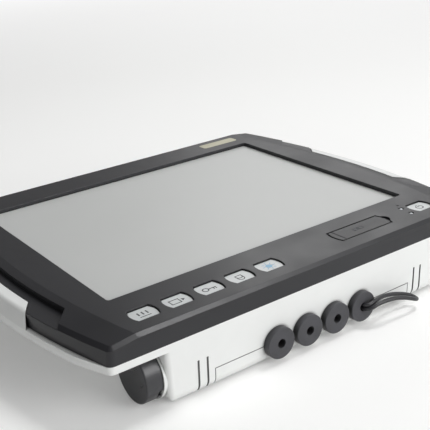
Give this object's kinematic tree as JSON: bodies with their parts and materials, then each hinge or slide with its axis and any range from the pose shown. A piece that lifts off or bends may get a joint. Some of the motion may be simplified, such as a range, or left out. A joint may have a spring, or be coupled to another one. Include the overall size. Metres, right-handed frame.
{
  "type": "vehicle touchscreen terminal",
  "caption": "Flat touchscreen terminal with bowed frame, raised side grips, sprung function keys, rubber socket cover, round side cap and cable glands on its lower edge.",
  "frame": {"origin": "bottom centre of the terminal as it lies on its back, without its lead", "axes": "+X to the right of the screen, +Y to its top edge, +Z out of the screen"},
  "size_m": [0.424, 0.3444, 0.0682],
  "materials": {
    "frame_black": "fine grained, satin",
    "housing_white": "fine grained, matt",
    "key_ivory": "smooth, satin",
    "gland_rubber": "matt",
    "touch_glass": "anti-glare etched",
    "lcd_cell": "matt polariser over an unlit picture",
    "backlight_film": "white film",
    "steel": "zinc plated sheet",
    "screw_steel": "zinc plated",
    "badge_gold": "pale champagne, brushed",
    "seal_foam": "closed cell foam",
    "mat_silicone": "silicone",
    "board_green": "solder mask",
    "chip_black": "moulded",
    "lens_white": "clear, frosted inside",
    "lens_dark": "tinted",
    "flap_rubber": "matt",
    "lead_black": "smooth PVC jacket",
    "terminal_green": "moulded",
    "cap_black": "fine grained",
    "pad_grey": "soft",
    "aluminium": "die cast",
    "cable_film": "polyimide ribbon"
  },
  "bodies": {
    "terminal": {"backlight": "backlight_film", "badge_plate": "badge_gold", "cable_cover": "housing_white", "cable_cover_screws": "screw_steel", "cable_gland_1": "gland_rubber", "cable_gland_2": "gland_rubber", "cable_gland_3": "gland_rubber", "cable_gland_4": "gland_rubber", "cap_seal": "seal_foam", "card_board": "board_green", "card_cage": "steel", "coin_cell": "steel", "drive_tray": "steel", "front_frame": "frame_black", "front_usb_sockets": "steel", "heat_block": "aluminium", "housing_screws": "screw_steel", "housing_seal": "seal_foam", "key_board": "board_green", "key_board_screws": "screw_steel", "key_mat": "mat_silicone", "key_switches": "chip_black", "lan_socket": "steel", "lcd_bracket": "steel", "lcd_bracket_screws": "screw_steel", "lcd_case": "steel", "lcd_cell": "lcd_cell", "light_sensor": "lens_dark", "main_board": "board_green", "main_board_screws": "screw_steel", "memory_module": "board_green", "power_board": "board_green", "power_board_parts": "chip_black", "power_lead": "lead_black", "power_terminal": "terminal_green", "processor": "chip_black", "rear_housing": "housing_white", "screen_cable": "cable_film", "screen_gasket": "seal_foam", "serial_socket": "steel", "service_usb_socket": "steel", "status_lenses": "lens_white", "storage_drive": "aluminium", "thermal_pad": "pad_grey", "touch_glass": "touch_glass", "usb_flap_anchor": "flap_rubber", "wlan_antennas": "board_green", "wlan_card": "board_green"},
    "key_1": {"key_1": "key_ivory"},
    "key_2": {"key_2": "key_ivory"},
    "key_3": {"key_3": "key_ivory"},
    "key_4": {"key_4": "key_ivory"},
    "key_5": {"key_5": "key_ivory"},
    "power_key": {"power_key": "key_ivory"},
    "usb_flap": {"usb_flap": "flap_rubber"},
    "access_cap": {"access_cap": "cap_black"}
  },
  "joints": [
    {"name": "key_1_press", "type": "slide", "parent": "terminal", "child": "key_1", "axis": [0, 0, -1], "range_m": [0, 0.0006], "stiffness_N_per_m": 1600},
    {"name": "key_2_press", "type": "slide", "parent": "terminal", "child": "key_2", "axis": [0, 0, -1], "range_m": [0, 0.0006], "stiffness_N_per_m": 1600},
    {"name": "key_3_press", "type": "slide", "parent": "terminal", "child": "key_3", "axis": [0, 0, -1], "range_m": [0, 0.0006], "stiffness_N_per_m": 1600},
    {"name": "key_4_press", "type": "slide", "parent": "terminal", "child": "key_4", "axis": [0, 0, -1], "range_m": [0, 0.0006], "stiffness_N_per_m": 1600},
    {"name": "key_5_press", "type": "slide", "parent": "terminal", "child": "key_5", "axis": [0, 0, -1], "range_m": [0, 0.0006], "stiffness_N_per_m": 1600},
    {"name": "power_key_press", "type": "slide", "parent": "terminal", "child": "power_key", "axis": [0, 0, -1], "range_m": [0, 0.0006], "stiffness_N_per_m": 1600},
    {"name": "usb_flap_open", "type": "hinge", "parent": "terminal", "child": "usb_flap", "pos_m": [0.0475, -0.13275, 0.0676], "axis": [0, -1, 0], "range_deg": [0, 100]},
    {"name": "access_cap_turn", "type": "hinge", "parent": "terminal", "child": "access_cap", "pos_m": [-0.15, -0.13675, 0.022], "axis": [1, 0, 0], "range_deg": [0, 90]}
  ]
}
